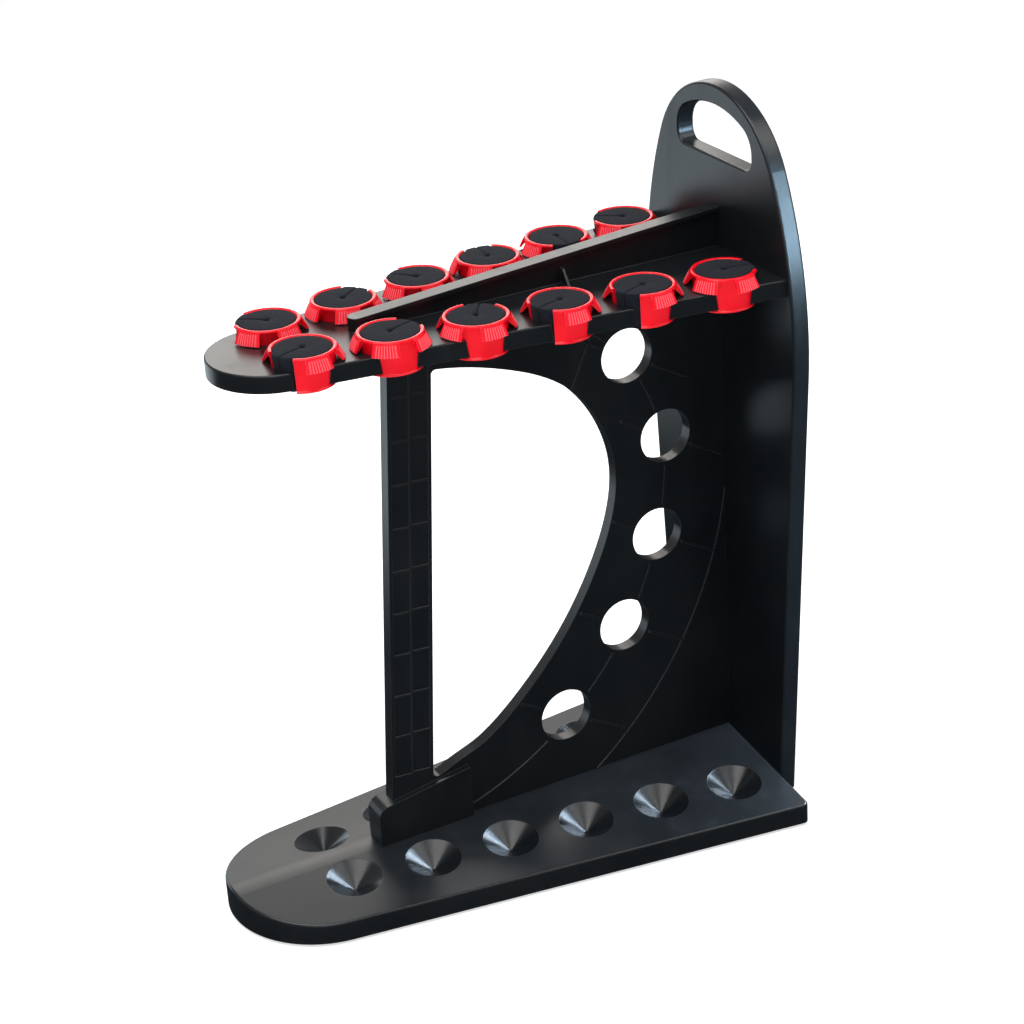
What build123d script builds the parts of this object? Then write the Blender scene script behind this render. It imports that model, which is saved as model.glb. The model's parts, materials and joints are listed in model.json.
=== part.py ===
from build123d import *
import math
import os

# Free-standing fishing rod rack for twelve rods, in millimetres.
# +X is the rack's right side, -Y its rounded nose, +Z up.
# The origin is on the floor, in the middle of the rack's bounding box.

# ---- rows of rod places ----
rods_per_row = 6
cup_spacing = 60.0          # from rod to rod along a row
row_angle = 7.5             # each row turns outwards from the middle line, degrees
first_rod_x = 29.7          # foremost rod, from the middle line
rear_margin = 36.4          # last rod to the back panel, along Y

# ---- base ----
foot_height = 2.5
base_depth = 21.5           # underside of the base to the cups' rims
base_margin = 43.3          # row line to the base's side, square to the row
base_nose_lead = 12.0       # first rod to the centre of the nose's arc
base_skin = 3.0
crown_angle = 8.0           # each half of the base falls outwards, degrees
ridge_radius = 60.0
cup_radius = 20.5
cup_depth = 12.0
cup_tip_radius = 1.0
cup_wall = 2.5
base_edge_radius = 2.0
base_corner_radius = 5.0

# ---- back panel ----
panel_thickness = 13.5
panel_top_rise = 518.7      # cups' rims to the top of the arch
panel_drop = 17.0           # cups' rims down to the panel's lower edge
panel_half_width = 100.0    # at the widest
panel_widest_rise = 345.0
panel_side_radius = 300.0
panel_arch_radius = 80.0
panel_side_taper = 3.9      # degrees, below the widest place
panel_edge_radius = 2.0
handle_half_width = 48.2
handle_height = 38.0
handle_frame = 14.4         # top of the handle hole to the top of the arch
handle_arch_radius = 85.0
handle_top_corner = 19.0
handle_low_corner = 9.0

# ---- shelf ----
shelf_rise = 388.8          # cups' rims to the shelf's underside
shelf_thickness = 12.5
shelf_margin = 17.0         # row line to the shelf's side
shelf_nose_lead = 9.8
shelf_skin = 3.0
shelf_edge_radius = 1.2
notch_clearance = 0.4       # round the collar's tube
fin_width = 12.0
fin_web = 6.0
fin_flange = 3.0
fin_front_rise = 10.0       # above the shelf's top
fin_rear_rise = 30.0
fin_front_y = 52.0          # behind the first rod
gusset_y = 207.0            # behind the first rod
gusset_width = 14.0
gusset_height = 11.0
tongue_depth = 2.0
tongue_clearance = 0.1
tongue_end_gap = 10.0       # short of the panel and of the post's front

# ---- centre web, with its post and foot ----
web_thickness = 10.0
post_thickness = 11.0
post_depth = 33.5           # along Y
post_front_y = 42.0         # behind the first rod, at the cups' rims
post_rake = 4.1             # degrees, the top leans towards the panel
post_core = 3.0
post_border = 2.6
post_rib = 1.4
post_pocket_rows = 10
post_low_gap = 12.0         # cut-out's lowest corner to the lowest pocket
post_top_gap = 8.0          # highest pocket to the shelf
foot_thickness = 20.0
foot_front_y = 31.5         # behind the first rod
foot_length = 75.5
foot_rise = 34.0            # cups' rims to the front of the post's base
foot_nose_radius = 9.0
ramp_rise = 42.0            # cups' rims to the cut-out's lowest corner
web_depth = 92.0            # cut-out to the back panel
cutout_top_gap = 27.0       # cut-out's highest corner to the shelf
cutout_corner_radius = 4.0
web_hole_radius = 20.6
# distance in front of the panel and height above the cups' rims of each round hole
web_holes = ((79.0, 335.8), (49.4, 266.3), (59.2, 189.1), (89.9, 122.2), (142.8, 61.8))
web_rib_width = 2.0
web_rib_thickness = 11.6
rib_slope = 29.0            # degrees, the ribs through the holes fall towards the panel
rib_front_reach = 42.0      # hole's centre to a rib's front end
rib_hole_gap = 3.0          # hole's edge to the ribs beside it
rib_rear_reach = 56.0       # hole's centre to a rib's rear end
hole_line_offset = 42.0     # cut-out's edge to the line of round holes
outer_rib_offset = 96.0
lower_ring_lead = 43.0      # post's rear face to the middle of the lower curved ribs
lower_ring_rise = 256.0     # cups' rims to the middle of the lower curved ribs
upper_ring_rise = 243.0
upper_ring_radius = 107.5   # to the cut-out's edge
top_rib_front = 124.5       # panel to the low end of the rib over the cut-out
top_rib_rise = 320.0        # cups' rims to the same end
top_rib_length = 66.0
top_rib_angle = 65.0        # degrees

# ---- collars and foam ----
collar_wall = 2.1
foam_radius = 19.8
foam_clearance = 0.2
collar_rise = 10.2          # above the shelf's top
collar_lip_drop = 2.2       # below the shelf's underside
collar_lip_width = 1.2
collar_play = 0.4           # above and below the shelf
collar_draft = 2.0          # the tube's radius is this much less at its foot
collar_rim_width = 0.9
collar_rim_height = 1.6
collar_rim_bevel = 0.6
skirt_edge = 0.8
skirt_radius = 28.0
skirt_tab_angle = 42.0
skirt_pitch = 72.0
gap_angle = 62.0
foam_hole_radius = 1.7
foam_slit = 0.8
# direction that each collar's gap faces, degrees from +X, from the nose to the panel
right_gaps = (-70.0, 112.0, 146.0, -72.0, -66.0, 82.0)
left_gaps = (-128.0, 128.0, -140.0, 176.0, -4.0, -126.0)

# ---- feet and screws ----
foot_radius = 9.0
foot_inset = 13.0           # base's edge to a foot's centre
foot_recess = 1.0
screw_radius = 2.0
screw_head_radius = 4.0
screw_head_height = 2.4
screw_grip = 14.0           # length in the receiving piece
screw_boss_radius = 6.0
screw_cover = 1.0           # panel's rear face to a screw's head
base_screw_front = 62.0     # first rod to the foremost upward screw
base_screw_middle = 185.0   # first rod to the second upward screw
base_screw_rear = 40.0      # last upward screw to the panel
web_screw_rise = 45.0       # cups' rims to the web's lowest screw
web_screw_step = 145.0
web_screw_top_gap = 50.0    # web's top screw to the shelf
shelf_screw_inset = 30.0    # last rods to the shelf's screws
base_screw_x = 45.0         # middle line to the panel's screws in the base
base_screw_drop = 7.0       # cups' rims to the same screws

# ---- places worked out from the values above ----
tan_row = math.tan(math.radians(row_angle))
cos_row = math.cos(math.radians(row_angle))
sin_row = math.sin(math.radians(row_angle))
tan_rake = math.tan(math.radians(post_rake))
row_length = (rods_per_row - 1) * cup_spacing * cos_row
nose_to_row = first_rod_x * cos_row - base_nose_lead * sin_row
base_nose_radius = base_margin + nose_to_row
total_length = base_nose_lead + base_nose_radius + row_length + rear_margin + panel_thickness
first_rod_y = -total_length / 2 + base_nose_lead + base_nose_radius
panel_y = first_rod_y + row_length + rear_margin
cup_z = foot_height + base_depth
shelf_z = cup_z + shelf_rise
shelf_top = shelf_z + shelf_thickness
tube_radius = foam_radius + foam_clearance + collar_wall
notch_radius = tube_radius + notch_clearance
collar_top = shelf_top + collar_rise
collar_bottom = shelf_z - collar_lip_drop
collar_height = collar_top - collar_bottom
reach = 400.0               # longer than any cut needs


def rod_place(side, index, outboard=0.0):
    """X and Y of a rod, or of a point beside it towards the rack's outside."""
    x = first_rod_x + index * cup_spacing * sin_row + outboard * cos_row
    y = first_rod_y + index * cup_spacing * cos_row - outboard * sin_row
    return side * x, y


def tapered_outline(margin, nose_lead, rear_y, inset=0.0):
    """Face of a plate that follows the rows, with a round nose and a straight rear edge."""
    centre_y = first_rod_y - nose_lead
    radius = margin + first_rod_x * cos_row - nose_lead * sin_row - inset
    side_x = radius * cos_row
    side_y = centre_y - radius * sin_row
    rear_x = side_x + (rear_y - inset - side_y) * tan_row
    nose = ThreePointArc((-side_x, side_y), (0, centre_y - radius), (side_x, side_y))
    rest = Polyline((side_x, side_y), (rear_x, rear_y - inset), (-rear_x, rear_y - inset), (-side_x, side_y))
    return make_face(nose.edges() + rest.edges())


def crown_plane(depth):
    """Plane of the base's right half, depth below the surface that holds the cups' rims."""
    tilt = math.radians(crown_angle)
    x, y = rod_place(1, 0)
    normal = (math.sin(tilt) * cos_row, -math.sin(tilt) * sin_row, math.cos(tilt))
    return Plane(origin=(x, y, cup_z - depth), z_dir=normal)


def crowned_block(inset, depth, low_z):
    """Solid under the crowned surface, inside the base's outline."""
    outline = tapered_outline(base_margin, base_nose_lead, panel_y, inset)
    block = extrude(Pos(0, 0, low_z) * outline, base_depth * 2)
    right = block & Pos(reach, 0, 0) * Box(2 * reach, 4 * reach, 4 * reach)
    right = split(right, bisect_by=crown_plane(depth), keep=Keep.BOTTOM)
    return right + mirror(right, about=Plane.YZ)


def draft_at(height):
    """How much a collar's radii shrink at a height above the collar's underside."""
    return collar_draft * (1 - height / collar_height)


def rod_cone(radius, low, high):
    """Upright cone with a collar's draft, between two heights above the collar's underside."""
    cone = Cone(radius - draft_at(low), radius - draft_at(high), high - low,
                align=(Align.CENTER, Align.CENTER, Align.MIN))
    return Pos(0, 0, low) * cone


def along_x(profile, thickness):
    """Extrude a face of the YZ plane by half the thickness to each side."""
    return extrude(profile, thickness / 2, both=True)


def screw(length):
    """Pan-head screw along +Z, with the underside of its head at the origin."""
    head = Pos(0, 0, -screw_head_height) * Cylinder(
        screw_head_radius, screw_head_height, align=(Align.CENTER, Align.CENTER, Align.MIN))
    head = fillet(head.edges().group_by(Axis.Z)[0], screw_head_height * 0.4)
    socket = Pos(0, 0, -screw_head_height) * extrude(RegularPolygon(1.4, 6), 1.2)
    shank = Cylinder(screw_radius, length, align=(Align.CENTER, Align.CENTER, Align.MIN))
    shank = chamfer(shank.edges().group_by(Axis.Z)[-1], screw_radius * 0.4)
    return head + shank - socket


def screw_cut(length):
    """Room for a screw: its shank, and its head with open space behind."""
    back = Pos(0, 0, -reach / 8) * Cylinder(
        screw_head_radius + 0.4, reach / 8, align=(Align.CENTER, Align.CENTER, Align.MIN))
    shank = Cylinder(screw_radius, length, align=(Align.CENTER, Align.CENTER, Align.MIN))
    return back + shank


# ---- screws: places and directions ----
base_screw_ys = (first_rod_y + base_screw_front, first_rod_y + base_screw_middle, panel_y - base_screw_rear)
base_screw_seat = foot_height + base_skin + screw_head_height


def base_screw_places():
    """Upward screws through the base into the web's lower edge."""
    return [Pos(0, y, base_screw_seat) for y in base_screw_ys]


def panel_screw_places():
    """Forward screws through the panel into the web, the shelf and the base."""
    seat_y = panel_y + panel_thickness - screw_head_height - screw_cover
    low_z = cup_z + web_screw_rise
    places = [(0.0, z) for z in (low_z, low_z + web_screw_step, shelf_z - web_screw_top_gap)]
    shelf_x = rod_place(1, rods_per_row - 1)[0] - shelf_screw_inset
    places += [(side * shelf_x, shelf_z + shelf_thickness / 2) for side in (-1, 1)]
    places += [(side * base_screw_x, cup_z - base_screw_drop) for side in (-1, 1)]
    return [Pos(x, seat_y, z) * Rot(90, 0, 0) for x, z in places]


base_screw_length = cup_z - base_screw_seat + screw_grip
panel_screw_length = panel_thickness - screw_head_height - screw_cover + screw_grip


def cut_screws(body, places, length):
    """Open a body for the screws at the given places."""
    for place in places:
        body -= place * screw_cut(length)
    return body


# ---- base ----
def cup_frame(side, index):
    """Frame at the centre of a cup's rim, with Z square to the crowned surface."""
    x, y = rod_place(side, index)
    tilt = math.radians(crown_angle)
    normal = (side * math.sin(tilt) * cos_row, -math.sin(tilt) * sin_row, math.cos(tilt))
    return Plane(origin=(x, y, cup_z), z_dir=normal)


def foot_places():
    """Centres of the six feet, three along each side of the base."""
    inner = base_margin - foot_inset
    spots = []
    for side in (-1, 1):
        for index in (0, (rods_per_row - 1) / 2, rods_per_row - 1 + 0.25):
            x, y = rod_place(side, index, inner)
            spots.append((x, y))
    return spots


def base_blank():
    """Solid outer shape of the base, before it is hollowed from below."""
    base = crowned_block(0.0, 0.0, foot_height)
    ridge = [e for e in base.edges() if abs(e.center().X) < 0.01 and e.center().Z > cup_z]
    base = fillet(ridge, ridge_radius)
    rear_corners = [e for e in base.edges().filter_by(Axis.Z) if e.center().Y > panel_y - 1]
    base = fillet(rear_corners, base_corner_radius)
    top_rim = [e for e in base.edges() if e.center().Z > cup_z - base_depth / 2 and abs(e.center().X) > 5]
    return fillet(top_rim, base_edge_radius)


def make_base(blank):
    hollow = crowned_block(base_skin, base_skin, foot_height)
    for side in (-1, 1):
        for index in range(rods_per_row):
            frame = cup_frame(side, index)
            boss = Pos(0, 0, -cup_depth - cup_wall) * Cone(
                cup_tip_radius + 2 * cup_wall, cup_radius + 1.2 * cup_wall, cup_depth + cup_wall,
                align=(Align.CENTER, Align.CENTER, Align.MIN))
            hollow -= frame * boss
    for x, y in foot_places():
        hollow -= Pos(x, y, 0) * Cylinder(foot_radius + base_skin, reach)
    for y in base_screw_ys:
        hollow -= Pos(0, y, 0) * Cylinder(screw_boss_radius + 1, reach)
    for side in (-1, 1):
        hollow -= Pos(side * base_screw_x, panel_y - screw_grip / 2, cup_z - base_screw_drop) * Box(
            2 * screw_boss_radius, screw_grip + 2, 2 * screw_boss_radius)
    for index in range(rods_per_row):
        y = first_rod_y + (index + 0.5) * cup_spacing * cos_row
        hollow -= Pos(0, y, 0) * Box(reach, base_skin * 0.8, reach)
    base = blank - hollow
    for side in (-1, 1):
        for index in range(rods_per_row):
            slope = (cup_radius - cup_tip_radius) / cup_depth
            cone = Pos(0, 0, -cup_depth) * Cone(
                cup_tip_radius, cup_radius + slope, cup_depth + 1.0,
                align=(Align.CENTER, Align.CENTER, Align.MIN))
            base -= cup_frame(side, index) * cone
    for x, y in foot_places():
        base -= Pos(x, y, foot_height) * Cylinder(foot_radius, 2 * foot_recess)
    base = cut_screws(base, base_screw_places(), base_screw_length)
    return cut_screws(base, panel_screw_places(), panel_screw_length)


# ---- centre web ----
def post_y(z, rear):
    """Y of the post's front or rear face at height z."""
    front = first_rod_y + post_front_y + (z - cup_z) * tan_rake
    return front + post_depth if rear else front


cutout_back = panel_y - web_depth
cutout_low = cup_z + ramp_rise
cutout_high = shelf_z - cutout_top_gap


def cutout_point(across, up):
    """Point of the cut-out's curve: across from the post to its back, up from low to high."""
    low_y = post_y(cutout_low, rear=True)
    return (low_y + across * (cutout_back - low_y), cutout_low + up * (cutout_high - cutout_low))


def cutout_block():
    """D-shaped block that opens the web behind the post."""
    top = (post_y(cutout_high, rear=True), cutout_high)
    bottom = (post_y(cutout_low, rear=True), cutout_low)
    middle = [(0.49, 0.958), (0.755, 0.889), (0.94, 0.766), (1.0, 0.646), (0.97, 0.532),
              (0.878, 0.414), (0.607, 0.21), (0.256, 0.056)]
    curve = Spline(top, *[cutout_point(u, v) for u, v in middle], bottom,
                   tangents=[(1.0, -0.1), (-1.0, -0.5)])
    closing = Line(bottom, top)
    block = along_x(Plane.YZ * make_face(curve.edges() + closing.edges()), 2 * foot_thickness)
    return fillet(block.edges().filter_by(Axis.X), cutout_corner_radius)


def web_outline():
    """Side shape of the web from the post to the panel."""
    front = post_y(foot_height, rear=False)
    post_top = (post_y(shelf_z, rear=False), shelf_z)
    shape = Polyline((front, foot_height), post_top, (panel_y, shelf_z), (panel_y, foot_height), close=True)
    return Plane.YZ * make_face(shape.edges())


def foot_profile():
    """Thick foot with a ramp on top, under the post and the front of the cut-out."""
    front = first_rod_y + foot_front_y
    back = front + foot_length
    low_y = post_y(cutout_low, rear=True)
    slope = (cutout_low - cup_z - foot_rise) / (low_y - front)
    ramp_end = (back, cutout_low + slope * (back - low_y))
    shape = Polyline((front, foot_height), (front, cup_z + foot_rise),
                     ramp_end, (back, foot_height), close=True)
    return Plane.YZ * make_face(shape.edges())


def hole_centres():
    """Y and Z of the web's round holes."""
    return [(panel_y - back, cup_z + rise) for back, rise in web_holes]


def ring_ribs():
    """Thin ribs that follow the cut-out: one through the holes and one further out."""
    low_y = post_y(cutout_low, rear=True)
    centre_y = low_y - lower_ring_lead
    centre_z = cup_z + lower_ring_rise
    reach_y = cutout_back - centre_y
    reach_z = centre_z - cutout_low
    faces = []
    for offset in (hole_line_offset, outer_rib_offset):
        outer = Ellipse(reach_y + offset + web_rib_width / 2, reach_z + offset + web_rib_width / 2)
        inner = Ellipse(reach_y + offset - web_rib_width / 2, reach_z + offset - web_rib_width / 2)
        lower = Plane.YZ * Pos(centre_y, centre_z) * (outer - inner)
        below = Pos(0, centre_y + reach, centre_z - reach) * Box(reach, 2 * reach, 2 * reach)
        faces.append(along_x(lower, web_rib_thickness) & below)
    radius = upper_ring_radius + hole_line_offset
    upper_y = cutout_back - upper_ring_radius
    ring = Circle(radius + web_rib_width / 2) - Circle(radius - web_rib_width / 2)
    upper = Plane.YZ * Pos(upper_y, cup_z + upper_ring_rise) * ring
    above = Pos(0, upper_y + reach, centre_z + reach) * Box(reach, 2 * reach, 2 * reach)
    faces.append(along_x(upper, web_rib_thickness) & above)
    return faces


def spoke_rib(centre, angle, start, end):
    """Thin straight rib from a hole, at an angle in the YZ plane."""
    bar = Pos((start + end) / 2, 0) * Rectangle(end - start, web_rib_width)
    return along_x(Plane.YZ * Pos(*centre) * Rot(0, 0, angle) * bar, web_rib_thickness)


def post_lattice():
    """Pockets to cut in the post's two sides: two columns with thin ribs between them."""
    low = cutout_low + post_low_gap
    high = shelf_z - post_top_gap
    pitch = (high - low) / post_pocket_rows
    column = (post_depth - 2 * post_border - post_rib) / 2
    pockets = Part()
    for row in range(post_pocket_rows):
        middle = low + (row + 0.5) * pitch
        for shift in (-1, 1):
            y = post_y(middle, rear=False) + post_depth / 2 + shift * (column + post_rib) / 2
            face = Plane.YZ * Pos(y, middle) * Rot(0, 0, -post_rake) * Rectangle(column, pitch - post_rib)
            slab = extrude(face, post_thickness, both=True) - extrude(face, post_core / 2, both=True)
            pockets += slab
    return pockets


def make_web(blank):
    outline = web_outline()
    sheet = along_x(outline, web_thickness)
    holes = hole_centres()
    top_rib_place = (panel_y - top_rib_front, cup_z + top_rib_rise)
    extras = ring_ribs() + [spoke_rib(top_rib_place, top_rib_angle, 0.0, top_rib_length)]
    for centre in holes:
        extras.append(spoke_rib(centre, -rib_slope, -rib_front_reach, -web_hole_radius - rib_hole_gap))
        extras.append(spoke_rib(centre, -rib_slope, web_hole_radius + rib_hole_gap, rib_rear_reach))
    wide = along_x(outline, foot_thickness)
    for extra in extras:
        sheet += extra & wide
    front_top = (post_y(shelf_z, rear=False), shelf_z)
    post_shape = Polyline((post_y(cup_z, rear=False), cup_z), front_top,
                          (front_top[0] + post_depth, shelf_z), (post_y(cup_z, rear=True), cup_z), close=True)
    sheet += along_x(Plane.YZ * make_face(post_shape.edges()), post_thickness) - post_lattice()
    foot = along_x(foot_profile(), foot_thickness)
    foot_nose = [e for e in foot.edges().filter_by(Axis.X) if e.center().Y < first_rod_y + foot_front_y + 1
                 and e.center().Z > cup_z]
    sheet += fillet(foot_nose, foot_nose_radius)
    sheet -= cutout_block()
    for centre in holes:
        flat = Circle(web_hole_radius + rib_hole_gap) - Circle(web_hole_radius)
        sides = along_x(Plane.YZ * Pos(*centre) * flat, foot_thickness)
        sheet -= sides - along_x(Plane.YZ * Pos(*centre) * flat, web_thickness)
        sheet -= along_x(Plane.YZ * Pos(*centre) * Circle(web_hole_radius), 2 * foot_thickness)
    tongue_length = panel_y - post_y(shelf_z, rear=False) - 2 * tongue_end_gap
    tongue = Pos(0, panel_y - tongue_end_gap - tongue_length / 2, shelf_z + tongue_depth / 2) * Box(
        web_thickness - 2, tongue_length, tongue_depth)
    sheet += tongue
    sheet -= blank
    sheet = cut_screws(sheet, base_screw_places(), base_screw_length)
    return cut_screws(sheet, panel_screw_places(), panel_screw_length)


# ---- back panel ----
def panel_outline():
    """Surfboard-shaped face of the back panel in the XZ plane, seen from the front."""
    top_z = cup_z + panel_top_rise
    arch_z = top_z - panel_arch_radius
    wide_z = cup_z + panel_widest_rise
    side_x = panel_half_width - panel_side_radius
    away = math.hypot(side_x, arch_z - wide_z)
    join = ((-side_x) / away, (arch_z - wide_z) / away)
    join_x = panel_arch_radius * join[0]
    join_z = arch_z + panel_arch_radius * join[1]
    taper = math.radians(panel_side_taper)
    side_z = wide_z - panel_side_radius * math.sin(taper)
    low_side_x = side_x + panel_side_radius * math.cos(taper)
    low_z = cup_z - panel_drop
    foot_x = low_side_x - (side_z - low_z) * math.tan(taper)
    arch = ThreePointArc((-join_x, join_z), (0, top_z), (join_x, join_z))
    sides = []
    for side in (-1, 1):
        sides += ThreePointArc((side * join_x, join_z), (side * panel_half_width, wide_z),
                               (side * low_side_x, side_z)).edges()
    bottom = Polyline((low_side_x, side_z), (foot_x, low_z), (-foot_x, low_z), (-low_side_x, side_z))
    return make_face(arch.edges() + sides + bottom.edges())


def handle_outline():
    """Flat-bottomed arched hand hole in the XZ plane."""
    top_z = cup_z + panel_top_rise - handle_frame
    slot = Pos(0, top_z - handle_height / 2) * Rectangle(2 * handle_half_width, handle_height)
    slot = slot & Pos(0, top_z - handle_arch_radius) * Circle(handle_arch_radius)
    corners = slot.vertices().group_by(Axis.Y)
    slot = fillet(corners[0], handle_low_corner)
    upper = [v for v in slot.vertices() if abs(abs(v.X) - handle_half_width) < 0.01
             and v.Y > top_z - handle_height / 2]
    return fillet(upper, handle_top_corner)


def make_panel():
    front = Plane(origin=(0, panel_y, 0), x_dir=(1, 0, 0), z_dir=(0, -1, 0))
    panel = extrude(front * panel_outline(), -panel_thickness)
    panel = fillet(panel.edges().group_by(Axis.Y)[0] + panel.edges().group_by(Axis.Y)[-1], panel_edge_radius)
    hole = extrude(front * handle_outline(), panel_thickness, both=True)
    panel -= hole
    rims = [e for e in panel.edges() if abs(e.center().X) < handle_half_width + 1
            and e.center().Z > cup_z + panel_top_rise - handle_frame - handle_height - 1
            and e.center().Z < cup_z + panel_top_rise - handle_frame + 1
            and (abs(e.center().Y - panel_y) < 0.01 or abs(e.center().Y - panel_y - panel_thickness) < 0.01)]
    panel = fillet(rims, panel_edge_radius * 0.75)
    return cut_screws(panel, panel_screw_places(), panel_screw_length)


# ---- shelf ----
def fin_shape():
    """Low fin along the middle of the shelf: a thin wall under a wider flange."""
    front = first_rod_y + fin_front_y
    front_top = shelf_top + fin_front_rise
    rear_top = shelf_top + fin_rear_rise
    side = Polyline((front, shelf_top - 1.0), (front, front_top), (panel_y, rear_top),
                    (panel_y, shelf_top - 1.0), close=True)
    flange = Polyline((front, front_top - fin_flange), (front, front_top), (panel_y, rear_top),
                      (panel_y, rear_top - fin_flange), close=True)
    wall = along_x(Plane.YZ * make_face(side.edges()), fin_web)
    top = along_x(Plane.YZ * make_face(flange.edges()), fin_width)
    nose = Pos(0, front, shelf_top - 1.0) * Cylinder(
        fin_width / 2, fin_front_rise + 1.0, align=(Align.CENTER, Align.CENTER, Align.MIN))
    gusset_top = shelf_top + gusset_height
    gusset = Polyline((0, shelf_top - 1.0), (gusset_width, shelf_top - 1.0), (gusset_width, shelf_top),
                      (fin_width / 2, gusset_top), (0, gusset_top), close=True)
    plate = extrude(Plane.XZ * make_face(gusset.edges()), web_rib_width / 2, both=True)
    plate = Pos(0, first_rod_y + gusset_y, 0) * plate
    return wall + top + nose + plate + mirror(plate, about=Plane.YZ)


def make_shelf():
    outline = tapered_outline(shelf_margin, shelf_nose_lead, panel_y)
    shelf = extrude(Pos(0, 0, shelf_z) * outline, shelf_thickness)
    top_rim = [e for e in shelf.edges().group_by(Axis.Z)[-1] if e.center().Y < panel_y - 0.01]
    shelf = fillet(top_rim, shelf_edge_radius)
    pocket_depth = shelf_thickness - shelf_skin
    pocket = extrude(Pos(0, 0, shelf_z) * tapered_outline(
        shelf_margin, shelf_nose_lead, panel_y, shelf_skin), pocket_depth)
    for side in (-1, 1):
        for index in range(rods_per_row):
            spot = Pos(*rod_place(side, index), shelf_z)
            pocket -= spot * Cylinder(notch_radius + shelf_skin, 2 * reach)
    pocket -= Pos(0, 0, shelf_z) * Box(post_thickness + 2 * shelf_skin, 4 * reach, 2 * reach)
    for x, z in {(round(place.position.X, 3), place.position.Z) for place in panel_screw_places()}:
        if abs(z - shelf_z - shelf_thickness / 2) < 0.01:
            pocket -= Pos(x, panel_y - screw_grip / 2, z) * Box(
                2 * screw_boss_radius, screw_grip + 4, 2 * shelf_thickness)
    shelf -= pocket
    for side in (-1, 1):
        for index in range(rods_per_row):
            spot = Pos(*rod_place(side, index), shelf_z)
            shelf -= spot * Pos(0, 0, -collar_lip_drop) * rod_cone(notch_radius, 0.0, collar_height)
    shelf += fin_shape()
    groove_length = panel_y - post_y(shelf_z, rear=False) - 2 * tongue_end_gap + 2 * tongue_clearance
    shelf -= Pos(0, panel_y - tongue_end_gap + tongue_clearance - groove_length / 2, shelf_z) * Box(
        web_thickness - 2 + 2 * tongue_clearance, groove_length, 2 * (tongue_depth + tongue_clearance))
    return cut_screws(shelf, panel_screw_places(), panel_screw_length)


# ---- twist collars ----
def wedge(radius, middle, span, height):
    """Sector of a disc, from the middle of the collar out to the radius."""
    half = math.radians(span / 2)
    far = radius / math.cos(half)
    shape = Polyline((0, 0), (far * math.cos(-half), far * math.sin(-half)),
                     (far * math.cos(half), far * math.sin(half)), close=True)
    return Rot(0, 0, middle) * extrude(make_face(shape.edges()), height)


def make_collar():
    """Open collar with its gap towards +X and its underside at the origin."""
    height = collar_height
    lip_top = collar_lip_drop - collar_play
    neck = tube_radius - draft_at(lip_top)
    rim_low = height - collar_rim_height
    shelf_high = shelf_top - collar_bottom + collar_play
    rim = tube_radius + collar_rim_width
    bore = foam_radius + foam_clearance
    section = Polyline(
        (bore - collar_draft, 0), (neck + collar_lip_width, 0),
        (neck + collar_lip_width, lip_top - collar_lip_width / 2), (neck, lip_top),
        (tube_radius - draft_at(rim_low), rim_low), (rim, height - collar_rim_height / 2),
        (rim, height - collar_rim_bevel), (rim - collar_rim_bevel, height), (bore, height), close=True)
    tube = revolve(Plane.XZ * make_face(section.edges()), Axis.Z)
    flare = Polyline(
        (foam_radius + collar_wall / 2, shelf_high), (skirt_radius, shelf_high),
        (skirt_radius, shelf_high + skirt_edge), (rim, height - collar_rim_bevel),
        (foam_radius + collar_wall / 2, height - collar_rim_bevel), close=True)
    skirt = revolve(Plane.XZ * make_face(flare.edges()), Axis.Z)
    for turn in (-2, -1, 1, 2):
        tab = wedge(skirt_radius + 4, turn * skirt_pitch, skirt_tab_angle, 2 * height)
        tube += skirt & tab
    return tube - Pos(0, 0, -1) * wedge(skirt_radius + 4, 0, gap_angle, 2 * height)


def make_foam():
    """Foam plug that fills the collar, with a hole and a slit to the gap."""
    plug = rod_cone(foam_radius, 0.0, collar_height)
    plug -= Cylinder(foam_hole_radius, 4 * collar_height)
    return plug - Pos(foam_radius, 0, 0) * Box(2 * foam_radius, foam_slit, 4 * collar_height)


# ---- feet ----
def make_foot(x, y):
    pad = Cylinder(foot_radius, foot_height + foot_recess, align=(Align.CENTER, Align.CENTER, Align.MIN))
    pad = fillet(pad.edges().group_by(Axis.Z)[0], foot_height * 0.3)
    return Pos(x, y, 0) * pad


def save(name, shape):
    """Write one piece, or a group of like pieces, to its own file."""
    shape.label = name
    export_step(shape, os.path.join("parts", name + ".step"))


def main():
    os.makedirs("parts", exist_ok=True)
    blank = base_blank()
    save("base_plate", make_base(blank))
    save("centre_web", make_web(blank))
    save("back_panel", make_panel())
    save("rod_shelf", make_shelf())
    collar = make_collar()
    foam = make_foam()
    for side, word, gaps in ((1, "right", right_gaps), (-1, "left", left_gaps)):
        for index in range(rods_per_row):
            place = Pos(*rod_place(side, index), collar_bottom) * Rot(0, 0, gaps[index])
            save(f"twist_collar_{word}_{index + 1}", place * collar)
            save(f"foam_insert_{word}_{index + 1}", place * foam)
    for number, (x, y) in enumerate(foot_places()):
        save(f"rubber_foot_{number + 1}", make_foot(x, y))
    save("base_screws", Compound(children=[p * screw(base_screw_length) for p in base_screw_places()]))
    save("panel_screws", Compound(children=[p * screw(panel_screw_length) for p in panel_screw_places()]))


main()
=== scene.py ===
import json
import math

import bmesh
import bpy
from mathutils import Matrix, Vector, noise


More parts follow.
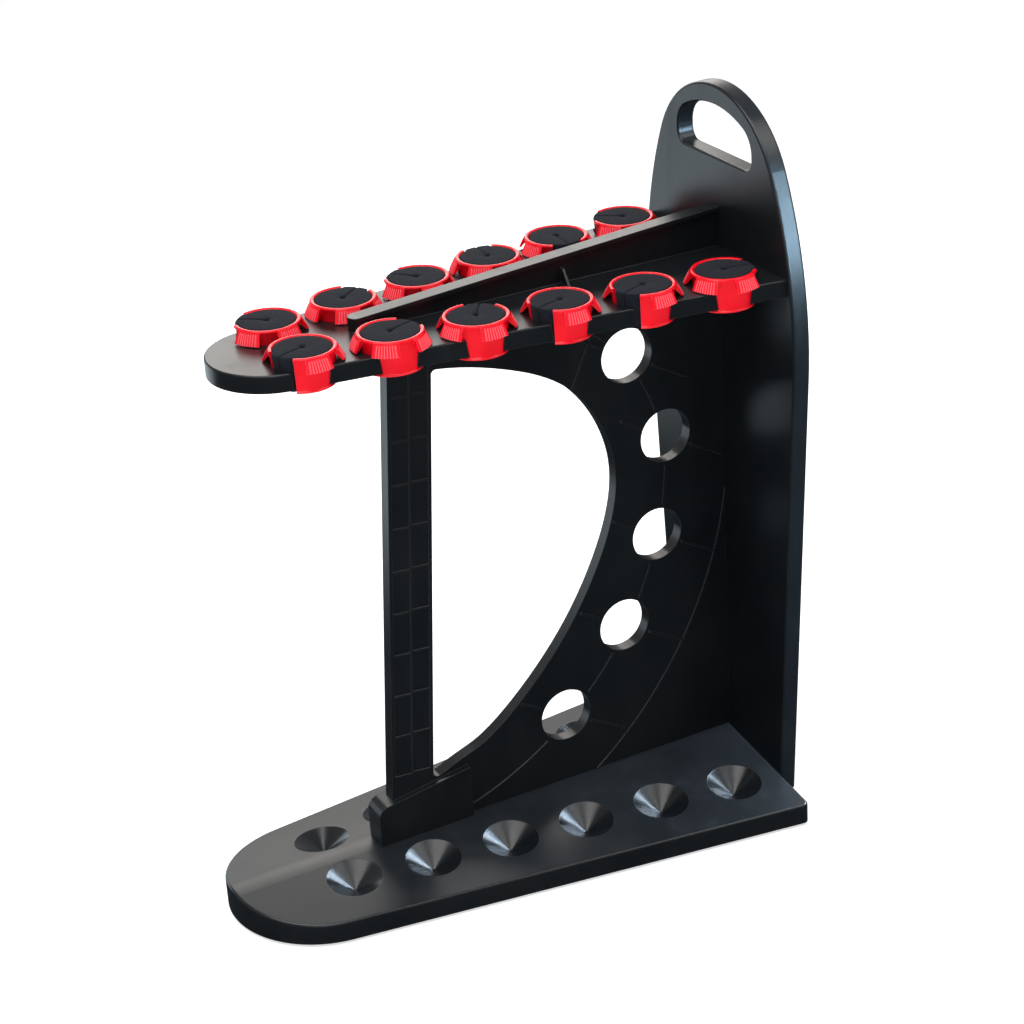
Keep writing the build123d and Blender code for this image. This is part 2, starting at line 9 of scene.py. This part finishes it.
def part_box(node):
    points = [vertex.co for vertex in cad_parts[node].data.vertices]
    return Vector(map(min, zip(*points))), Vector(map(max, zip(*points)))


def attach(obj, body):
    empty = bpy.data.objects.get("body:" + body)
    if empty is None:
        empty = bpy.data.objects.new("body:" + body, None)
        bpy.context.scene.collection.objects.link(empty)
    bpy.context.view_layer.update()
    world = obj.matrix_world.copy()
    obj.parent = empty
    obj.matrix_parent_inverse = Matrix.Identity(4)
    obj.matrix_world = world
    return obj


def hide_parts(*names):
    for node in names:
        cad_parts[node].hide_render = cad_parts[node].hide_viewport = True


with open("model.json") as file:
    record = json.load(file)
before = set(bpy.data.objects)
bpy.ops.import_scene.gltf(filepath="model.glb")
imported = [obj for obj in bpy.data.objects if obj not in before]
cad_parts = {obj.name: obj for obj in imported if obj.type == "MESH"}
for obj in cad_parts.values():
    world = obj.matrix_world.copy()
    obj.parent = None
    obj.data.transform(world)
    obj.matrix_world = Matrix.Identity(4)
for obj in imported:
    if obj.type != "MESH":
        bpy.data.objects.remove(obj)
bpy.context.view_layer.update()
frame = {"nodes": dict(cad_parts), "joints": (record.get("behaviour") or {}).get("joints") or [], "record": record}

MM = 0.001
FULL_TURN = 2 * math.pi

# ---- studio: camera, lights, world, floor ----
VIEW_AZIMUTH = 63.768       # degrees, 0 looks along +Y and 90 along -X
VIEW_DOWN = 25.498          # degrees below the horizon
VIEW_ROLL = -3.577          # degrees
CAMERA_PLACE = Vector((1.4537, -0.6895, 1.0337))
CAMERA_LENS = 88.38         # millimetres, on the sensor width below
SENSOR_WIDTH = 36
CLIP_START = 0.05
CLIP_END = 60

# name: place, aim, size, power in watts, colour
LIGHTS = {
    "window": ((0.97, 0.62, 0.66), (0.09, 0.20, 0.44), (0.5, 0.42), 17, (0.50, 0.77, 1.0)),
    "softbox_rear": ((0.6, 0.8, 1.7), (0, 0.2, 0.5), (0.8, 0.8), 6, (1.0, 0.98, 0.94)),
    "softbox_top": ((0.3, -0.5, 1.9), (0, 0, 0.25), (1.4, 1.4), 24, (1.0, 0.98, 0.97)),
    "softbox_right": ((1.6, -0.9, 0.9), (0, 0, 0.3), (0.9, 1.2), 5, (0.85, 0.93, 1.0)),
    "softbox_back": ((-1.25, 0.45, 0.95), (0, -0.17, 0.25), (0.9, 0.9), 7.5, (1.0, 0.96, 0.91)),
    "bounce_left": ((-0.95, -0.32, 0.12), (0, 0.20, 0.50), (0.9, 0.5), 2.0, (0.80, 0.93, 1.0)),
    "cup_light": ((-0.114, 0.93, 0.76), (0.05, 0, 0.02), (0.5, 0.5), 14, (0.66, 0.83, 1.0)),
}

# the world's tone by height: 0 is straight down, 0.5 the horizon and 1 straight up
WORLD_TONES = (
    (0.42, (0.035, 0.045, 0.055, 1)),
    (0.56, (0.34, 0.34, 0.34, 1)),
    (0.85, (0.40, 0.40, 0.41, 1)),
)
FLOOR_HALF = 30             # metres from the middle to each side
FLOOR_GLOW = 0.60


def make_camera():
    az, down, roll = (math.radians(v) for v in (VIEW_AZIMUTH, VIEW_DOWN, VIEW_ROLL))
    right = Vector((math.cos(az), math.sin(az), 0))
    ahead = Vector((-math.sin(az), math.cos(az), 0))
    forward = ahead * math.cos(down) - Vector((0, 0, 1)) * math.sin(down)
    up = ahead * math.sin(down) + Vector((0, 0, 1)) * math.cos(down)
    rolled_right = right * math.cos(roll) + up * math.sin(roll)
    rolled_up = up * math.cos(roll) - right * math.sin(roll)
    data = bpy.data.cameras.new("camera")
    data.sensor_width = SENSOR_WIDTH
    data.lens = CAMERA_LENS
    data.clip_start = CLIP_START
    data.clip_end = CLIP_END
    camera = bpy.data.objects.new("camera", data)
    bpy.context.scene.collection.objects.link(camera)
    axes = Matrix((rolled_right, rolled_up, -forward)).transposed()
    camera.matrix_world = Matrix.Translation(CAMERA_PLACE) @ axes.to_4x4()
    bpy.context.scene.camera = camera


def area_light(name, place, aim, size, power, colour):
    data = bpy.data.lights.new(name, "AREA")
    data.shape = "RECTANGLE"
    data.size, data.size_y = size
    data.energy = power
    data.color = colour
    light = bpy.data.objects.new(name, data)
    bpy.context.scene.collection.objects.link(light)
    light.location = place
    light.rotation_euler = (Vector(aim) - Vector(place)).to_track_quat("-Z", "Y").to_euler()
    light.visible_camera = False
    return light


def only_node(name, node):
    """Collection of one frame node, for a light that reaches nothing else."""
    group = bpy.data.collections.new(name)
    group.objects.link(frame["nodes"][node])
    return group


def make_lights():
    lights = {name: area_light(name, *values) for name, values in LIGHTS.items()}
    cup_light = lights["cup_light"]
    # a linked light shows in gloss only without multiple importance sampling
    cup_light.data.cycles.use_multiple_importance_sampling = False
    cup_light.light_linking.receiver_collection = only_node("cup_light_reach", "base_plate")
    cup_light.light_linking.blocker_collection = only_node("cup_light_blockers", "base_plate")
    lights["window"].light_linking.receiver_collection = only_node("window_reach", "back_panel")


def make_world():
    world = bpy.data.worlds.new("studio")
    bpy.context.scene.world = world
    world.use_nodes = True
    tree = world.node_tree
    tree.nodes.clear()
    out = tree.nodes.new("ShaderNodeOutputWorld")
    back = tree.nodes.new("ShaderNodeBackground")
    coord = tree.nodes.new("ShaderNodeTexCoord")
    split = tree.nodes.new("ShaderNodeSeparateXYZ")
    height = tree.nodes.new("ShaderNodeValToRGB")
    stops = height.color_ramp.elements
    for index, (position, colour) in enumerate(WORLD_TONES):
        stop = stops[index] if index < len(stops) else stops.new(position)
        stop.position = position
        stop.color = colour
    remap = tree.nodes.new("ShaderNodeMapRange")
    remap.inputs["From Min"].default_value = -1
    remap.inputs["From Max"].default_value = 1
    tree.links.new(coord.outputs["Generated"], split.inputs["Vector"])
    tree.links.new(split.outputs["Z"], remap.inputs["Value"])
    tree.links.new(remap.outputs["Result"], height.inputs["Fac"])
    tree.links.new(height.outputs["Color"], back.inputs["Color"])
    back.inputs["Strength"].default_value = 1.0
    tree.links.new(back.outputs["Background"], out.inputs["Surface"])


# ---- materials ----
MIX_A, MIX_B, MIX_RESULT = 6, 7, 2      # the colour sockets of a Mix node
CLOUD_RANGE = (0.3, 0.7)                # where most of a noise texture's values lie
EDGE_SAMPLES = 6
EDGE_TURN = (0.80, 0.995)               # dot of rounded and flat normal, from edge to flat face

BLACK_DEEP = (0.0040, 0.0056, 0.0070)
BLACK_PALE = (0.0068, 0.0088, 0.0104)
BLACK_SCUFFED = (0.012, 0.014, 0.016)
# painted highlight: the black plastic's edges are painted paler and bluer
BLACK_EDGE_HIGHLIGHT = (0.045, 0.055, 0.064)
BLACK_HIGHLIGHT_SHARE = 0.6
CONE_SLOPE_LOW = (0.76, 0.80)           # the cups' walls have a normal with a Z between
CONE_SLOPE_HIGH = (0.92, 0.96)          # these two ranges, which fade the mask in and out
CONE_SMOOTHER = 0.11

RED_DEEP = (0.79, 0.0008, 0.010)
RED_PALE = (0.89, 0.0014, 0.015)
# painted highlight on the collars' edges and the ribs' crests
RED_PAINTED_HIGHLIGHT = (0.97, 0.26, 0.32)
RED_HIGHLIGHT_SHARE = 0.5

FOAM_DEEP = (0.0020, 0.0030, 0.0070)
FOAM_PALE = (0.0048, 0.0070, 0.0135)
# painted light and shade: the foam's cell walls are painted paler than the cells' hollows
FOAM_LIT_WALL = (0.0085, 0.0125, 0.0215)
FOAM_LIT_WALL_SHARE = 0.5
FOAM_CELLS = 1500                       # scale of the cell texture
FOAM_CELL_HOLLOW = (0.0, 0.25)          # distances from a cell's wall
FOAM_CLOUD_RANGE = (0.35, 0.65)

RUBBER_DEEP = (0.010, 0.010, 0.010)
RUBBER_PALE = (0.022, 0.022, 0.023)
STEEL_DEEP = (0.42, 0.43, 0.44)
STEEL_PALE = (0.62, 0.62, 0.61)
FLOOR_DEEP = (0.86, 0.86, 0.865)
FLOOR_PALE = (0.88, 0.88, 0.88)


class Shader:
    """One Principled material with a few helpers that add and link nodes."""

    def __init__(self, name):
        self.material = bpy.data.materials.new(name)
        self.material.use_nodes = True
        self.tree = self.material.node_tree
        self.bsdf = self.tree.nodes["Principled BSDF"]
        self.coord = self.add("ShaderNodeTexCoord")

    def add(self, kind, inputs=None, **settings):
        """New node with these settings and these values on its input sockets."""
        node = self.tree.nodes.new(kind)
        for key, value in settings.items():
            setattr(node, key, value)
        for key, value in (inputs or {}).items():
            node.inputs[key].default_value = value
        return node

    def link(self, source, target):
        self.tree.links.new(source, target)

    def shade(self, sockets):
        """Link the shader's named sockets to outputs, or set them to plain values."""
        for key, value in sockets.items():
            if isinstance(value, bpy.types.NodeSocket):
                self.link(value, self.bsdf.inputs[key])
            else:
                self.bsdf.inputs[key].default_value = value
        return self.material

    def noise(self, scale, detail, roughness, stretch=None):
        texture = self.add("ShaderNodeTexNoise",
                           {"Scale": scale, "Detail": detail, "Roughness": roughness})
        place = self.coord.outputs["Object"]
        if stretch:
            mapping = self.add("ShaderNodeMapping", {"Scale": stretch})
            self.link(place, mapping.inputs["Vector"])
            place = mapping.outputs["Vector"]
        self.link(place, texture.inputs["Vector"])
        return texture.outputs["Fac"]

    def remap(self, value, result, given=(0.0, 1.0)):
        """The given range of a value, mapped onto the result range and held there."""
        node = self.add("ShaderNodeMapRange",
                        {"From Min": given[0], "From Max": given[1],
                         "To Min": result[0], "To Max": result[1]})
        self.link(value, node.inputs["Value"])
        return node.outputs["Result"]

    def maths(self, kind, a, b):
        node = self.add("ShaderNodeMath", operation=kind)
        for socket, value in zip(node.inputs, (a, b)):
            if isinstance(value, (int, float)):
                socket.default_value = value
            else:
                self.link(value, socket)
        return node.outputs["Value"]

    def mix_colour(self, factor, a, b):
        node = self.add("ShaderNodeMix", data_type="RGBA")
        self.link(factor, node.inputs["Factor"])
        for socket, value in ((node.inputs[MIX_A], a), (node.inputs[MIX_B], b)):
            if isinstance(value, tuple):
                socket.default_value = (*value, 1)
            else:
                self.link(value, socket)
        return node.outputs[MIX_RESULT]

    def bump(self, height, distance, strength, normal=None):
        node = self.add("ShaderNodeBump", {"Distance": distance, "Strength": strength})
        self.link(height, node.inputs["Height"])
        if normal is not None:
            self.link(normal, node.inputs["Normal"])
        return node.outputs["Normal"]

    def facing_up(self):
        geometry = self.add("ShaderNodeNewGeometry")
        split = self.add("ShaderNodeSeparateXYZ")
        self.link(geometry.outputs["True Normal"], split.inputs["Vector"])
        return split.outputs["Z"]

    def rounded(self, radius):
        """Normal that is rounded over the edges."""
        bevel = self.add("ShaderNodeBevel", {"Radius": radius}, samples=EDGE_SAMPLES)
        return bevel.outputs["Normal"]

    def edge_mask(self, rounded):
        """How far a rounded normal turns from the flat one: 1 on a sharp edge."""
        geometry = self.add("ShaderNodeNewGeometry")
        dot = self.add("ShaderNodeVectorMath", operation="DOT_PRODUCT")
        self.link(rounded, dot.inputs[0])
        self.link(geometry.outputs["Normal"], dot.inputs[1])
        return self.remap(dot.outputs["Value"], (1.0, 0.0), EDGE_TURN)


def black_plastic():
    s = Shader("black_moulded_plastic")
    rounded = s.rounded(0.8 * MM)
    edge = s.edge_mask(rounded)
    grain = s.noise(scale=2600, detail=3, roughness=0.6)
    cloud = s.noise(scale=14, detail=4, roughness=0.55)
    scuffs = s.noise(scale=55, detail=5, roughness=0.65, stretch=(1, 1, 0.12))
    body = s.mix_colour(s.remap(cloud, (0, 1), CLOUD_RANGE), BLACK_DEEP, BLACK_PALE)
    body = s.mix_colour(s.remap(scuffs, (0, 0.35), (0.58, 0.75)), body, BLACK_SCUFFED)
    # painted highlight along the rounded edges
    body = s.mix_colour(s.maths("MULTIPLY", edge, BLACK_HIGHLIGHT_SHARE), body, BLACK_EDGE_HIGHLIGHT)
    broad = s.remap(cloud, (0.27, 0.34), (0.25, 0.75))
    scuffed = s.remap(scuffs, (0.0, 0.09), (0.5, 0.8))
    rough = s.maths("ADD", s.maths("ADD", broad, scuffed), s.remap(grain, (-0.02, 0.02)))
    # the cups' walls are a little smoother than the flat faces
    slope = s.facing_up()
    conical = s.maths("MULTIPLY", s.remap(slope, (0, 1), CONE_SLOPE_LOW),
                      s.remap(slope, (1, 0), CONE_SLOPE_HIGH))
    return s.shade({
        "Base Color": body,
        "Roughness": s.maths("SUBTRACT", rough, s.maths("MULTIPLY", conical, CONE_SMOOTHER)),
        "Specular IOR Level": 0.45,
        "Normal": s.bump(grain, distance=0.045 * MM, strength=0.5, normal=rounded)})


def red_plastic():
    s = Shader("red_gloss_plastic")
    rounded = s.rounded(0.35 * MM)
    edge = s.edge_mask(rounded)
    cloud = s.noise(scale=60, detail=3, roughness=0.5)
    flow = s.noise(scale=130, detail=3, roughness=0.5, stretch=(1, 1, 0.25))
    ripple = s.noise(scale=420, detail=2, roughness=0.5)
    body = s.mix_colour(s.remap(cloud, (0, 1), CLOUD_RANGE), RED_DEEP, RED_PALE)
    # painted highlight: edges and the crests of the tabs' ribs are painted paler pink
    crest = s.add("ShaderNodeAttribute", attribute_name="crest")
    painted_highlight = s.maths("MAXIMUM", s.maths("MULTIPLY", edge, RED_HIGHLIGHT_SHARE),
                   s.maths("MULTIPLY", crest.outputs["Fac"], RED_HIGHLIGHT_SHARE))
    return s.shade({
        "Base Color": s.mix_colour(painted_highlight, body, RED_PAINTED_HIGHLIGHT),
        "Roughness": s.remap(flow, (0.20, 0.30)),
        "Specular IOR Level": 0.28,
        "Coat Weight": 0.08,
        "Coat Roughness": 0.12,
        "Normal": s.bump(ripple, distance=0.02 * MM, strength=0.35, normal=rounded)})


def black_foam():
    s = Shader("black_cell_foam")
    cells = s.add("ShaderNodeTexVoronoi", {"Scale": FOAM_CELLS}, feature="DISTANCE_TO_EDGE")
    s.link(s.coord.outputs["Object"], cells.inputs["Vector"])
    hollow = s.remap(cells.outputs["Distance"], (0, 1), FOAM_CELL_HOLLOW)
    # the cells' walls are painted paler and their hollows darker, as painted light and shade
    wall = s.maths("SUBTRACT", 1.0, hollow)
    cloud = s.noise(scale=220, detail=4, roughness=0.6)
    body = s.mix_colour(s.remap(cloud, (0, 1), FOAM_CLOUD_RANGE), FOAM_DEEP, FOAM_PALE)
    coarse = s.bump(cloud, distance=0.35 * MM, strength=0.5)
    return s.shade({
        "Base Color": s.mix_colour(s.maths("MULTIPLY", wall, FOAM_LIT_WALL_SHARE), body, FOAM_LIT_WALL),
        "Roughness": s.remap(cloud, (0.82, 0.95)),
        "Specular IOR Level": 0.16,
        "Sheen Weight": 0.04,
        "Sheen Roughness": 0.6,
        "Normal": s.bump(hollow, distance=0.12 * MM, strength=0.7, normal=coarse)})


def foot_rubber():
    s = Shader("foot_rubber")
    cloud = s.noise(scale=90, detail=4, roughness=0.6)
    grain = s.noise(scale=1500, detail=3, roughness=0.6)
    return s.shade({
        "Base Color": s.mix_colour(s.remap(cloud, (0, 1), CLOUD_RANGE), RUBBER_DEEP, RUBBER_PALE),
        "Roughness": s.remap(cloud, (0.65, 0.85)),
        "Normal": s.bump(grain, distance=0.06 * MM, strength=0.6)})


def zinc_steel():
    s = Shader("zinc_steel")
    rounded = s.rounded(0.25 * MM)
    cloud = s.noise(scale=350, detail=4, roughness=0.6)
    grain = s.noise(scale=2400, detail=3, roughness=0.6)
    return s.shade({
        "Base Color": s.mix_colour(s.remap(cloud, (0, 1), CLOUD_RANGE), STEEL_DEEP, STEEL_PALE),
        "Metallic": 1.0,
        "Roughness": s.remap(cloud, (0.28, 0.45)),
        "Normal": s.bump(grain, distance=0.01 * MM, strength=0.5, normal=rounded)})


def pale_floor():
    s = Shader("pale_floor")
    cloud = s.noise(scale=0.8, detail=2, roughness=0.5)
    return s.shade({
        "Base Color": s.mix_colour(cloud, FLOOR_DEEP, FLOOR_PALE),
        "Roughness": 0.9,
        "Specular IOR Level": 0.1,
        "Emission Color": (1, 1, 1, 1),
        "Emission Strength": FLOOR_GLOW})


def make_floor():
    h = FLOOR_HALF
    mesh = bpy.data.meshes.new("floor")
    mesh.from_pydata([(-h, -h, 0), (h, -h, 0), (h, h, 0), (-h, h, 0)], [], [(0, 1, 2, 3)])
    floor = bpy.data.objects.new("floor", mesh)
    bpy.context.scene.collection.objects.link(floor)
    mesh.materials.append(pale_floor())
    floor.visible_glossy = False


# ---- mesh helpers ----
SHARP_ANGLE = math.radians(38)


def mesh_object(name, verts, faces, material):
    mesh = bpy.data.meshes.new(name)
    mesh.from_pydata(verts, [], faces)
    bm = bmesh.new()
    bm.from_mesh(mesh)
    bmesh.ops.recalc_face_normals(bm, faces=bm.faces)
    for face in bm.faces:
        face.smooth = True
    for edge in bm.edges:
        if len(edge.link_faces) == 2 and edge.calc_face_angle() > SHARP_ANGLE:
            edge.smooth = False
    bm.to_mesh(mesh)
    bm.free()
    mesh.materials.append(material)
    thing = bpy.data.objects.new(name, mesh)
    bpy.context.scene.collection.objects.link(thing)
    return thing


def swept(profile_at, steps):
    """Closed solid whose profile at the share t of the sweep, 0 to 1, is profile_at(t)."""
    rows = [profile_at(i / steps) for i in range(steps + 1)]
    count = len(rows[0])
    verts = [point for row in rows for point in row]
    faces = []
    for i in range(steps):
        for j in range(count):
            k = (j + 1) % count
            faces.append((i * count + j, i * count + k, (i + 1) * count + k, (i + 1) * count + j))
    faces.append(tuple(range(count))[::-1])
    faces.append(tuple(steps * count + j for j in range(count)))
    return verts, faces


def joined(parts):
    verts, faces = [], []
    for part_verts, part_faces in parts:
        start = len(verts)
        verts += part_verts
        faces += [tuple(start + i for i in face) for face in part_faces]
    return verts, faces


def polar(radius, angle, height):
    return (radius * math.cos(angle), radius * math.sin(angle), height)


def curve(points, radius, height=0.0):
    """Profile points from offsets in millimetres, outwards and up, from a radius and height."""
    return [(radius + out * MM, height + up * MM) for out, up in points]


def smooth_step(value):
    value = min(1.0, max(0.0, value))
    return value * value * (3 - 2 * value)


# ---- collars: open tubes with a rolled rim, a lip at the foot and four skirt tabs ----
FOAM_RADIUS = 19.8 * MM
RING_INNER = 20.0 * MM
TUBE_OUTER = 22.1 * MM
RIM_OUTER = 23.0 * MM
LIP_OUTER = 21.4 * MM
DRAFT = 2.0 * MM            # the tube and the plug are this much slimmer at their feet
GAP_HALF = math.radians(31.0)
TUBE_STEPS = 150

# offsets for curve()
FOOT_BEVEL = ((0.0, 0.4), (0.4, 0.0))
LIP_BEAD = ((-0.3, 0.0), (0.0, 0.35), (-0.1, 0.9))
RIM_OUTSIDE = ((-0.25, -2.2), (0.0, -1.4), (-0.05, -0.7), (-0.5, -0.15), (-1.1, 0.0))
RIM_INSIDE = ((0.7, -0.1), (0.1, -0.6), (0.0, -1.4))
NECK_LOW = 1.5 * MM         # the lip runs into the tube's wall between these heights
NECK_HIGH = 1.9 * MM
NECK_FLARE = 0.2 * MM
RIM_START = 3.2 * MM        # below the top

SKIRT_OUTER = 27.6 * MM
SKIRT_DEPTH = 9.4 * MM      # from the collar's top to the tabs' lower edge
TAB_HALF = math.radians(21.0)
TAB_PITCH = math.radians(72.0)
TAB_PLACES = (1, 2, 3, 4)   # in pitches from the middle of the gap
TAB_DROP = 0.7 * MM         # the tabs start this far below the collar's top
TAB_OVERLAP = 0.6 * MM      # and this far inside the tube's outer wall
TAB_SHOULDER = 0.5 * MM     # fall of a tab's top towards the tube
TAB_INSET = 0.1 * MM        # of a tab's outer face from the rim
TAB_LEVELS = 10             # points down a tab's outer face
TAB_CURVE = 0.9             # below 1, the face curves outwards
TAB_WALL = 1.8 * MM
TAB_CHAMFER = (1.2 * MM, 1.6 * MM)      # inwards and up, at the lower inner edge
TAB_ROOT_RISE = 4.5 * MM    # where the inner face meets the tube, above the lower edge
TAB_RIBS = 8
TAB_STEPS = TAB_RIBS * 10 + 14      # steps round a tab, about 9 to a rib
TAB_MARGIN = 0.10           # plain share at each end of a tab
RIB_HEIGHT = 0.7 * MM
RIB_START = 0.14            # share of the way down where the ribs begin
RIB_FADE = 0.1              # share of the way down over which they reach their height
RIB_FLOOR = 0.6             # share of the rib's height that is cut into the face
CREST_COLUMNS = range(3, TAB_LEVELS + 2)    # profile points on the ribbed part of a tab

collar_low, collar_high = (corner.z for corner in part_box("twist_collar_right_1"))
COLLAR_HEIGHT = collar_high - collar_low
SKIRT_LOW = COLLAR_HEIGHT - SKIRT_DEPTH


def drafted(radius, height):
    return radius - DRAFT * (1 - height / COLLAR_HEIGHT)


def tube_solid():
    top = COLLAR_HEIGHT
    profile = curve(FOOT_BEVEL, RING_INNER - DRAFT) + curve(LIP_BEAD, LIP_OUTER)
    profile.append((drafted(TUBE_OUTER, NECK_LOW) + NECK_FLARE, NECK_LOW))
    profile += [(drafted(TUBE_OUTER, z), z) for z in (NECK_HIGH, top - RIM_START)]
    profile += curve(RIM_OUTSIDE, RIM_OUTER, top) + curve(RIM_INSIDE, RING_INNER, top)

    def row(t):
        angle = GAP_HALF + t * (FULL_TURN - 2 * GAP_HALF)
        return [polar(r, angle, z) for r, z in profile]
    return swept(row, TUBE_STEPS)


def rib_at(t):
    """Height of the tab's ribs, 0 to 1, at the share t of its width; None off the ribs."""
    inside = (t - TAB_MARGIN) / (1 - 2 * TAB_MARGIN)
    if not 0 <= inside <= 1:
        return None
    return max(0.0, math.sin(math.pi * (inside * TAB_RIBS % 1.0))) ** 3


def tab_solid(middle):
    top = COLLAR_HEIGHT - TAB_DROP
    start = RIM_OUTER - TAB_INSET
    root = TUBE_OUTER - TAB_OVERLAP
    inner = SKIRT_OUTER - TAB_WALL

    def row(t):
        angle = middle + (t - 0.5) * 2 * TAB_HALF
        rib = rib_at(t)
        points = [polar(root, angle, top - TAB_SHOULDER)]
        for i in range(TAB_LEVELS + 1):
            down = i / TAB_LEVELS
            radius = start + (SKIRT_OUTER - RIM_OUTER) * down ** TAB_CURVE
            if rib is not None:
                depth = smooth_step((down - RIB_START) / RIB_FADE)
                radius += (rib - RIB_FLOOR) * RIB_HEIGHT * depth
            points.append(polar(radius, angle, top - (top - SKIRT_LOW) * down))
        points.append(polar(inner, angle, SKIRT_LOW))
        points.append(polar(inner - TAB_CHAMFER[0], angle, SKIRT_LOW + TAB_CHAMFER[1]))
        points.append(polar(root, angle, SKIRT_LOW + TAB_ROOT_RISE))
        return points
    return swept(row, TAB_STEPS)


def make_collar_mesh(material):
    """One collar with its gap towards +X; the attribute "crest" is 1 on the ribs' crests, where the red material
    paints a highlight.
    """
    parts = [tube_solid()] + [tab_solid(k * TAB_PITCH) for k in TAB_PLACES]
    verts, faces = joined(parts)
    thing = mesh_object("collar_master", verts, faces, material)
    crest = thing.data.attributes.new("crest", "FLOAT", "POINT")
    tube_count = len(parts[0][0])
    tab_count = len(parts[1][0])
    row_count = tab_count // (TAB_STEPS + 1)
    for index in range(tube_count, len(verts)):
        row, column = divmod((index - tube_count) % tab_count, row_count)
        rib = rib_at(row / TAB_STEPS)
        crest.data[index].value = rib if rib and column in CREST_COLUMNS else 0.0
    return thing


# ---- foam: slit plugs with a centre hole, a low crown and a bulge at the collar's gap ----
FOAM_HOLE = 1.7 * MM
FOAM_SLIT = 0.35 * MM       # half its width
FOAM_LOW = 0.5 * MM
FOAM_DROP = 0.25 * MM       # below the collar's top
FOAM_STEPS = 110
FOAM_BULGE = 1.7 * MM
BULGE_CLEAR = math.radians(1.5)     # between the bulge and the collar's ends
BULGE_FADE = math.radians(7)
HOLE_EDGE = ((0.0, -1.0), (0.35, -0.45))
CROWN_PLACES = (0.08, 0.16, 0.26, 0.36, 0.46, 0.56, 0.66, 0.76, 0.86, 0.93)
CROWN_HEIGHT = 0.35 * MM
CROWN_REACH = 1.06          # the crown ends a little inside the rim
FOAM_SHOULDER = ((-0.7, -0.12), (-0.2, -0.55), (0.0, -1.3))
SIDE_PLACES = (0.85, 0.7, 0.55, 0.4, 0.25, 0.1)
FOOT_INSET = 0.3 * MM
FOOT_MIDDLE = 0.6           # share of the radius
SLIT_EDGE_WIDTH = 1.2 * MM  # the top dips towards the slit over this width
SLIT_DIP = 0.5 * MM
DIP_START = 0.9             # share of the plug's height above which it dips
ROUGH_SCALE = 260           # of the noise that roughens the plug, per metre
ROUGH_HEIGHT = 0.12 * MM


def foam_radius_at(angle):
    off = abs(math.remainder(angle, FULL_TURN))
    return FOAM_RADIUS + FOAM_BULGE * smooth_step((GAP_HALF - BULGE_CLEAR - off) / BULGE_FADE)


def foam_profile(wide, top):
    """Radius and height of each point of a plug's section, from the hole outwards and down."""
    span = wide - FOAM_HOLE
    ring = [(FOAM_HOLE, FOAM_LOW), (FOAM_HOLE, top * 0.5)] + curve(HOLE_EDGE, FOAM_HOLE, top)
    ring += [(FOAM_HOLE + span * f, top + CROWN_HEIGHT * math.sin(math.pi * min(1, f * CROWN_REACH)))
             for f in CROWN_PLACES]
    ring += curve(FOAM_SHOULDER, wide, top)
    ring += [(drafted(wide, top * f), top * f) for f in SIDE_PLACES]
    ring += [(drafted(wide, FOAM_LOW) - FOOT_INSET, FOAM_LOW), (wide * FOOT_MIDDLE, FOAM_LOW)]
    return ring


def make_foam_mesh(material):
    """One plug with its slit and its bulge towards +X."""
    top = COLLAR_HEIGHT - FOAM_DROP

    def row(t):
        points = []
        for radius, height in foam_profile(foam_radius_at(t * FULL_TURN), top):
            edge = math.asin(FOAM_SLIT / radius)
            angle = edge + t * (FULL_TURN - 2 * edge)
            from_slit = abs(math.remainder(angle, FULL_TURN)) * radius - FOAM_SLIT
            if height > top * DIP_START:
                height -= SLIT_DIP * smooth_step(1 - from_slit / SLIT_EDGE_WIDTH)
            x, y, z = polar(radius, angle, height)
            if height > FOAM_LOW * 2:
                z += noise.noise(Vector((x, y, z)) * ROUGH_SCALE) * ROUGH_HEIGHT
            points.append((x, y, z))
        return points
    verts, faces = swept(row, FOAM_STEPS)
    return mesh_object("foam_master", verts, faces, material)


def gap_direction(node, axis):
    """Angle of the middle of the widest empty sector of a collar's vertices."""
    points = (vertex.co for vertex in frame["nodes"][node].data.vertices)
    angles = sorted(math.atan2(point.y - axis[1], point.x - axis[0]) for point in points)
    spans = [(b - a, (a + b) / 2) for a, b in zip(angles, angles[1:])]
    across = (angles[0] + angles[-1]) / 2 + math.pi
    spans.append((angles[0] + FULL_TURN - angles[-1], across))
    return max(spans)[1]


def place_piece(master, name, turn, body, node):
    piece = bpy.data.objects.new(name, master.data)
    bpy.context.scene.collection.objects.link(piece)
    piece.matrix_world = turn
    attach(piece, body)
    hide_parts(node)
    return piece


def place_collars(red, foam):
    collar_master = make_collar_mesh(red)
    foam_master = make_foam_mesh(foam)
    for joint in frame["joints"]:
        body = joint["child"]
        which = body[len("collar_"):]
        axis = joint["pos_m"]
        collar_node = "twist_collar_" + which
        place = Matrix.Translation((axis[0], axis[1], collar_low))
        turn = place @ Matrix.Rotation(gap_direction(collar_node, axis), 4, "Z")
        place_piece(collar_master, "collar_ring_" + which, turn, body, collar_node)
        plug = place_piece(foam_master, "foam_plug_" + which, turn, body, "foam_insert_" + which)
    for master in (collar_master, foam_master):
        bpy.data.objects.remove(master)


def paint_frame(materials):
    """Give every frame node whose record slot has a material here that material."""
    slot_of = {row["node"]: row["material_slot"] for row in frame["record"]["subparts"]}
    for node, thing in frame["nodes"].items():
        if slot_of.get(node) in materials:
            thing.data.materials.clear()
            thing.data.materials.append(materials[slot_of[node]])


# ---- build ----
make_camera()
make_world()
make_floor()
make_lights()
paint_frame({"black_plastic": black_plastic(), "foot_rubber": foot_rubber(),
             "screw_steel": zinc_steel()})
place_collars(red_plastic(), black_foam())
bpy.context.scene.view_settings.view_transform = "Standard"
